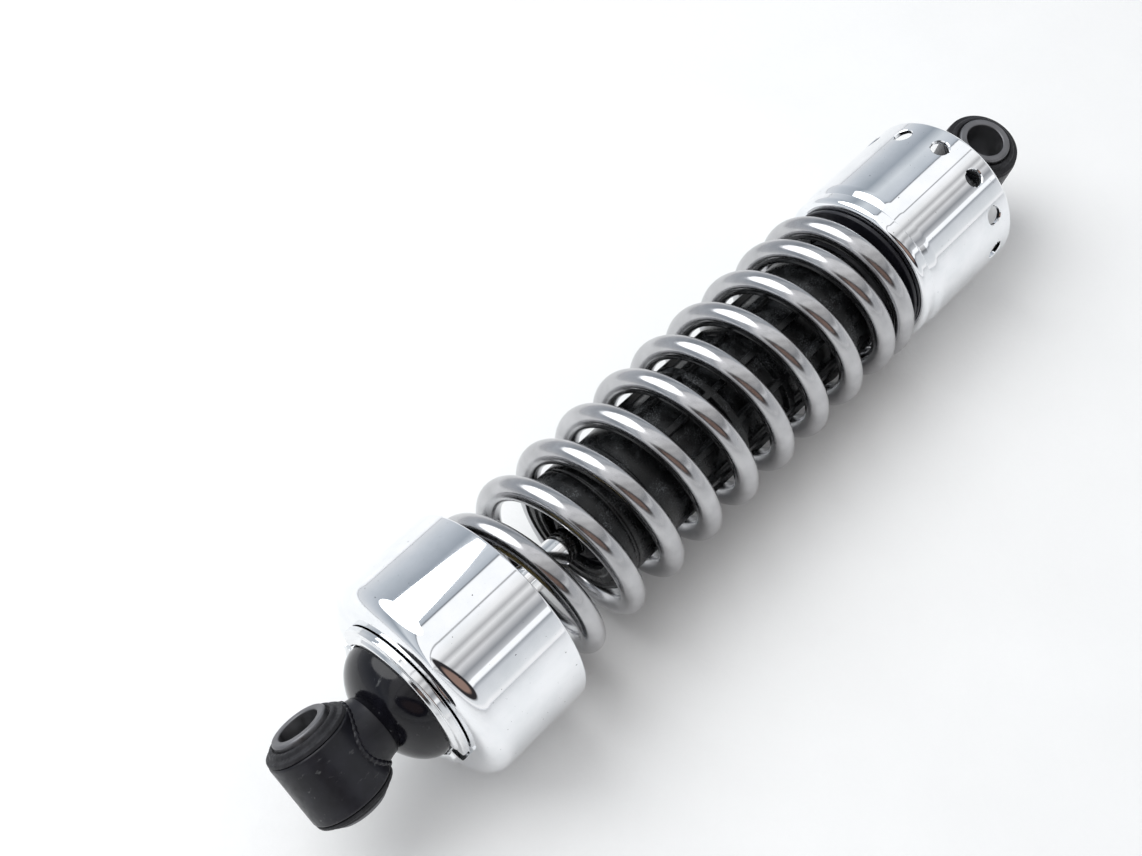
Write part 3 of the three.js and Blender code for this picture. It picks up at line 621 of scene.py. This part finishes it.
def make_guide():
    """Moulded guide: the radius is a function of X and angle. The near part is a plain barrel
    with two shallow steps, the middle has raised ribs and cross rings over a lower wall, and
    the far part is a plain skirt."""
    end_x, edge, rib_half = GUIDE_X1, 0.5, 1.25
    rings = [(-4.0, -1.0), (18.0, 21.0)]
    breaks = [GUIDE_PLAIN_END, GUIDE_SKIRT, GUIDE_X0 + 7, GUIDE_X0 + 8.2, GUIDE_X0 + 20]
    breaks = np.array(breaks + [x for ring in rings for x in ring])
    x = around_breaks(GUIDE_X0 + 0.9, end_x - 0.9, 3.0, breaks, edge * 0.6)[:, None]
    rib_middles = np.arange(GUIDE_RIBS)[:, None] * TAU / GUIDE_RIBS
    rib_edges = rib_middles + np.array([-1, 1]) * rib_half / GUIDE_R
    angle = around_breaks(-0.1, TAU - 0.1, TAU / 180, rib_edges.ravel(), 0.3 / GUIDE_R)[None, :]
    angle[0, -1] = TAU - 0.1
    off_rib = np.abs((angle + np.pi / GUIDE_RIBS) % (TAU / GUIDE_RIBS) - np.pi / GUIDE_RIBS)
    rib = band(off_rib * GUIDE_R, -9, rib_half, edge)
    ring = sum(band(x, low, high, edge) for low, high in rings)
    raised = np.maximum(rib + 0 * x, ring + 0 * angle)
    middle = GUIDE_LOW + (GUIDE_R - 0.35 - GUIDE_LOW) * raised
    near = GUIDE_R - 0.3 - 0.5 * band(x, GUIDE_X0 + 7, GUIDE_X0 + 8.2, edge)
    near = near - 0.35 * band(x, GUIDE_X0 + 20, 99, edge)
    in_middle = band(x, GUIDE_PLAIN_END, GUIDE_SKIRT, edge)
    skirt = band(x, GUIDE_SKIRT, 999, edge)
    radius = near * (1 - in_middle) * (1 - skirt) + middle * in_middle
    radius = radius + GUIDE_R * skirt * (1 - in_middle)
    radius = np.clip(radius, GUIDE_LOW, GUIDE_R)
    field = about_axis(x, radius, angle)
    bore, mouth = TUBE_R + 0.3, 12.5
    inside = rounded([
        (end_x - 0.9, GUIDE_R, 0), (end_x, GUIDE_R - 0.9, 0.5), (end_x, bore, 0.4),
        (TUBE_X0 - 0.3, bore, 0.3), (TUBE_X0 - 0.3, mouth, 0.2), (GUIDE_X0 + 0.6, mouth, 0.5),
        (GUIDE_X0 + 0.6, 14.4, 0.4), (GUIDE_X0, 14.9, 0.4), (GUIDE_X0, 16.6, 0.4),
        (GUIDE_X0 + 0.7, 17.2, 0.4), (GUIDE_X0 + 0.7, 18.6, 0.3), (GUIDE_X0, 19.0, 0.3),
        (GUIDE_X0 + 0.9, GUIDE_R - 0.3, 0),
    ], closed=False)
    rest_x, rest_r = inside[:, :1], inside[:, 1:]
    rest = about_axis(rest_x, rest_r, angle)
    rest[0], rest[-1] = field[-1], field[0]
    piece("guide_sleeve", [field, rest], FINISHES["black_plastic"], DAMPER,
          ["spring_guide"])


# ---- preload adjuster ----
SLEEVE_X0, SLEEVE_X1, SLEEVE_R = span("adjuster_sleeve")
SLEEVE_WALL, HUB_BORE = 1.6, 17.8
HOLE_COUNT, HOLE_R, HOLE_X, HOLE_TURN = 12, 3.1, 117.0, np.radians(96)
PATCH_HALF = 4.6
SIDE_STEPS = 16


def patch(radius, hole_radius, turn, rings=9):
    """Square of wall round one spanner hole: each line runs from a point of the hole's circle
    to the point of the square's edge with the same number. Returns it wrapped on the wall."""
    half_angle = np.pi / HOLE_COUNT
    side = np.linspace(-1, 1, SIDE_STEPS + 1)[:-1]
    ones = np.ones(SIDE_STEPS)
    edge_x = np.concatenate([-ones, side, ones, -side]) * PATCH_HALF
    edge_a = np.concatenate([side, ones, -side, -ones]) * half_angle
    spin = np.linspace(0, TAU, 4 * SIDE_STEPS, endpoint=False) - 0.75 * np.pi
    circle_x, circle_a = np.sin(spin) * hole_radius, np.cos(spin) * hole_radius / radius
    share = np.linspace(0, 1, rings + 1)[:, None] ** 1.3
    x = HOLE_X + circle_x + (edge_x - circle_x) * share
    angle = turn + circle_a + (edge_a - circle_a) * share
    sheet = about_axis(x, radius, angle)
    return np.concatenate([sheet, sheet[:, :1]], 1)


def around_sleeve(outline):
    """Revolution whose columns fall on the corners of the squares round the holes."""
    columns = HOLE_COUNT * SIDE_STEPS
    angle = np.linspace(0, TAU, columns + 1) + HOLE_TURN + np.pi / HOLE_COUNT
    x, radius = outline[:, :1], outline[:, 1:]
    return about_axis(x, radius, angle)


def make_adjuster():
    """Drawn sleeve: a rolled bead and a soft shoulder at the seat, a straight wall with a ring
    of spanner holes, and a rim turned in a little."""
    outer, inner = SLEEVE_R, SLEEVE_R - SLEEVE_WALL
    low, high = HOLE_X - PATCH_HALF, HOLE_X + PATCH_HALF
    front = rounded([
        (low, inner, 0), (SLEEVE_X0 + 6.4, inner, 2.0), (SLEEVE_X0 + 4.4, inner - 1.6, 1.0),
        (SLEEVE_X0 + SLEEVE_WALL, inner - 2.4, 1.4), (SLEEVE_X0 + SLEEVE_WALL, HUB_BORE, 0.2),
        (SLEEVE_X0, HUB_BORE, 0.2), (SLEEVE_X0, outer - 0.5, 2.3),
        (SLEEVE_X0 + 4.9, outer - 0.5, 1.9), (SLEEVE_X0 + 5.2, outer - 1.15, 0.8),
        (SLEEVE_X0 + 8.2, outer, 5.0), (low, outer, 0),
    ], closed=False, steps=14)
    back = rounded([
        (high, outer, 0), (SLEEVE_X1 - 1.1, outer, 0.9), (SLEEVE_X1, outer - 0.7, 0.6),
        (SLEEVE_X1 - 0.5, inner - 0.3, 0.4), (SLEEVE_X1 - 2.2, inner, 0.6), (high, inner, 0),
    ], closed=False, steps=8)
    sheets = [around_sleeve(front), around_sleeve(back)]
    break_size = 0.3
    rows = np.array([(outer, HOLE_R + break_size), (outer - break_size, HOLE_R),
                     (inner + break_size, HOLE_R), (inner, HOLE_R + break_size)])
    for i in range(HOLE_COUNT):
        turn = HOLE_TURN + i * TAU / HOLE_COUNT
        sheets += [patch(outer, rows[0][1], turn), patch(inner, rows[3][1], turn)]
        walls = [patch(radius, size, turn, 1)[0] for radius, size in rows]
        sheets.append(np.stack(walls))
    piece("preload_sleeve", sheets, FINISHES["chrome"], ADJUSTER, ["adjuster_sleeve"])
    washer_x0, washer_x1, washer_r = span("thrust_washer")
    turned("seat_washer", [
        (washer_x0, HUB_BORE, 0.2), (washer_x0, washer_r, 0.4), (washer_x1, washer_r, 0.4),
        (washer_x1, HUB_BORE, 0.2),
    ], "black_enamel", SEAT, ["thrust_washer"])


# ---- spring ----
COIL_R, WIRE_R = 25.0, 3.75
PITCH, DEAD_PITCH, BLEND_TURNS = 17.15, 7.8, 0.8
FIRST_X, FIRST_TURN = -77.8, 0.5
OPEN_FROM, OPEN_TO = -0.87, 8.32
DEAD_COVER, DEAD_SEAT = 0.95, 0.72
TIP_COVER = OPEN_FROM - BLEND_TURNS - DEAD_COVER
TIP_SEAT = OPEN_TO + BLEND_TURNS + DEAD_SEAT
SPLIT_TURN = 7.85


def coil_x(turn):
    """Place of the wire along the axis: even pitch in the middle, easing to the close pitch
    over BLEND_TURNS past each end of it."""
    def ease(over):
        eased = np.minimum(over, BLEND_TURNS)
        curve = PITCH * eased + (DEAD_PITCH - PITCH) * eased ** 2 / (2 * BLEND_TURNS)
        return curve + DEAD_PITCH * np.maximum(over - BLEND_TURNS, 0)
    middle = FIRST_X + PITCH * (np.clip(turn, OPEN_FROM, OPEN_TO) - FIRST_TURN)
    return middle + ease(np.maximum(turn - OPEN_TO, 0)) - ease(np.maximum(OPEN_FROM - turn, 0))


def wire(first, last, sides=36, steps=112):
    """Wire from one turn to another: a circle carried along the helix, square to it. Both ends
    are closed by circles shrinking to a point, behind a small broken edge."""
    turn = np.linspace(first, last, int((last - first) * steps) + 1)
    shrink = np.ones_like(turn)
    turn = np.concatenate([np.full(3, first), turn, np.full(3, last)])
    shrink = np.concatenate([[0, 0.55, 0.9], shrink, [0.9, 0.55, 0]])
    shift = np.zeros_like(turn)
    shift[[3, -4]] = 0.4, -0.4
    angle = TAU * turn
    centre = about_axis(coil_x(turn), COIL_R, angle)
    slope = (coil_x(turn + 1e-4) - coil_x(turn - 1e-4)) / 2e-4
    along = np.stack([slope, -TAU * COIL_R * np.sin(angle), TAU * COIL_R * np.cos(angle)], -1)
    along /= np.linalg.norm(along, axis=1)[:, None]
    outward = np.stack([0 * angle, np.cos(angle), np.sin(angle)], -1)
    flank = np.cross(along, outward)
    centre = centre + along * shift[:, None]
    around = np.linspace(0, TAU, sides + 1)[None, :, None]
    circle = np.cos(around) * outward[:, None] + np.sin(around) * flank[:, None]
    return centre[:, None] + WIRE_R * shrink[:, None, None] * circle


def make_spring():
    split_x = float(coil_x(np.array(SPLIT_TURN)))
    steel = FINISHES["spring_steel"]
    coils = piece("coils", [wire(TIP_COVER, SPLIT_TURN)], steel, DAMPER, ["spring"])
    tail = piece("coil_tail", [wire(SPLIT_TURN, TIP_SEAT)], steel, DAMPER,
                 ["spring"])
    far_x = coil_x(np.array(TIP_COVER)) - WIRE_R
    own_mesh(coils)
    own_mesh(tail)


# ---- surroundings ----
def make_floor():
    """Pale grained sheet, tipped so that it touches both the cover's rim and the sleeve."""
    run = (SLEEVE_X1 - 4 - COVER_X1) * MM
    rise = (AXIS_Z - SLEEVE_R) * MM
    size = 3.0
    corners = [(x, y, (x - (COVER_X1 + SHIFT_X) * MM) * rise / run) for x, y in
               ((-size, -size), (size, -size), (size, size), (-size, size))]
    mesh = bpy.data.meshes.new("floor")
    mesh.from_pydata(corners, [], [(0, 1, 2, 3)])
    made = Finish("floor_sheet", 0.0)
    dim, pale = (0.90, 0.90, 0.892), (0.93, 0.93, 0.922)
    made.colour(made.ramp(made.noise(60, 3), [(0.3, dim), (0.7, pale)]))
    made.roughness(made.span(made.noise(4, 3), 0.5, 0.65))
    made.relief(made.noise(1.6, 3), 0.16, 0.7)
    mesh.materials.append(made.material)
    floor = bpy.data.objects.new("floor", mesh)
    bpy.context.scene.collection.objects.link(floor)


class Sky:
    """Small helper for sums on the direction of light in the world's nodes."""

    def __init__(self):
        world = bpy.data.worlds.new("studio")
        bpy.context.scene.world = world
        world.use_nodes = True
        self.nodes, self.links = world.node_tree.nodes, world.node_tree.links
        self.background = self.nodes["Background"]
        self.direction = self.nodes.new("ShaderNodeTexCoord").outputs["Generated"]

    def math(self, operation, *values):
        made = self.nodes.new("ShaderNodeMath")
        made.operation = operation
        for socket, value in zip(made.inputs, values):
            if isinstance(value, (int, float)):
                socket.default_value = value
            else:
                self.links.new(value, socket)
        return made.outputs[0]

    def along(self, vector):
        made = self.nodes.new("ShaderNodeVectorMath")
        made.operation = "DOT_PRODUCT"
        self.links.new(self.direction, made.inputs[0])
        made.inputs[1].default_value = tuple(vector)
        return made.outputs["Value"]

    def ramp(self, value, stops):
        made = self.nodes.new("ShaderNodeValToRGB")
        elements = made.color_ramp.elements
        while len(elements) < len(stops):
            elements.new(0.5)
        for element, (place, colour) in zip(elements, stops):
            element.position = place
            element.color = (*colour, 1)
        self.links.new(value, made.inputs["Fac"])
        return made.outputs["Color"]

    def mix(self, share, first, second):
        made = self.nodes.new("ShaderNodeMix")
        made.data_type = "RGBA"
        self.links.new(share, made.inputs["Factor"])
        for socket, value in ((made.inputs[6], first), (made.inputs[7], second)):
            if isinstance(value, tuple):
                socket.default_value = (*value, 1)
            else:
                self.links.new(value, socket)
        return made.outputs[2]


def make_studio():
    """White tent with grey panels in strips parallel to the damper, and one dark warm screen low
    on the near side, so that the plating has something to mirror."""
    sky = Sky()
    across, height = sky.along((0, 1, 0)), sky.along((0, 0, 1))
    strip = sky.math("DIVIDE", sky.math("ARCTAN2", height, across), np.pi)
    white, cool, deep = (1.12, 1.13, 1.15), (0.60, 0.64, 0.69), (0.36, 0.40, 0.45)
    bands = sky.ramp(strip, [
        (0.0, (0.78, 0.80, 0.83)), (0.10, cool), (0.24, deep), (0.33, (0.72, 0.76, 0.80)),
        (0.42, cool), (0.448, (0.48, 0.52, 0.57)), (0.454, (0.10, 0.11, 0.13)), (0.462, white),
        (0.572, white), (0.576, (0.06, 0.06, 0.07)), (0.584, white), (0.635, (0.95, 0.95, 0.95)),
        (0.665, (0.50, 0.50, 0.51)), (0.69, (0.90, 0.90, 0.90)), (0.725, (0.42, 0.42, 0.43)),
        (0.745, (0.74, 0.74, 0.75)), (0.79, (0.30, 0.31, 0.33)), (0.825, (0.58, 0.59, 0.61)),
        (0.832, white), (0.858, white), (0.866, (0.34, 0.36, 0.39)), (0.89, (0.66, 0.68, 0.71)),
        (0.965, (0.80, 0.82, 0.84)), (0.985, (0.98, 0.98, 0.99)),
    ])
    screen = Vector((-0.60, -0.66, 0.45)).normalized()
    sideways = Vector((screen.y, -screen.x, 0)).normalized()
    upward = sideways.cross(screen)
    ahead = sky.math("MAXIMUM", sky.along(screen), 0.02)
    right = sky.math("DIVIDE", sky.along(sideways), sky.math("MULTIPLY", ahead, 0.80))
    up = sky.math("DIVIDE", sky.along(upward), sky.math("MULTIPLY", ahead, 0.36))
    squares = sky.math("ADD", sky.math("POWER", right, 2), sky.math("POWER", up, 2))
    radius = sky.math("SQRT", squares)
    share = sky.ramp(radius, [(0.85, (1, 1, 1)), (1.0, (0, 0, 0))])
    warm = sky.ramp(radius, [(0.45, (0.30, 0.20, 0.165)), (0.62, (0.03, 0.028, 0.03))])
    seen = sky.mix(share, bands, warm)
    path = sky.nodes.new("ShaderNodeLightPath").outputs["Is Camera Ray"]
    sky.links.new(sky.mix(path, seen, (0.93, 0.93, 0.93)), sky.background.inputs["Color"])
    sky.background.inputs["Strength"].default_value = 0.95


def area_light(name, place, target, size, power):
    data = bpy.data.lights.new(name, "AREA")
    data.shape = "DISK"
    data.size = size
    data.energy = power
    light = bpy.data.objects.new(name, data)
    light.location = place
    light.rotation_euler = (Vector(target) - Vector(place)).to_track_quat("-Z", "Y").to_euler()
    bpy.context.scene.collection.objects.link(light)
    return light


def set_cad_finishes():
    """Nodes that stay as they are get the finish of their slot in the record."""
    for row in frame["record"]["subparts"]:
        node = frame["nodes"][row["node"]]
        node.data.materials.clear()
        node.data.materials.append(FINISHES[row["material_slot"]])


make_camera()
set_cad_finishes()
make_eye("rod_end", ROD_EYE, 1, BOSS_R, BOSS_END_X, ROD_BODY, "rod_end_pivot", "rod_end_eye")
make_eye("body", BODY_EYE, -1, BODY_NECK_R, BODY_NECK_X, DAMPER, "body_end_pivot", "body_eye")
make_cover()
make_collar()
make_dome()
make_rod()
make_tube()
make_guide()
make_adjuster()
make_spring()
make_floor()
make_studio()
area_light("key", (-0.25, 0.55, 1.0), (0, 0, 0.03), 1.2, 9)
bpy.context.scene.view_settings.view_transform = "Standard"
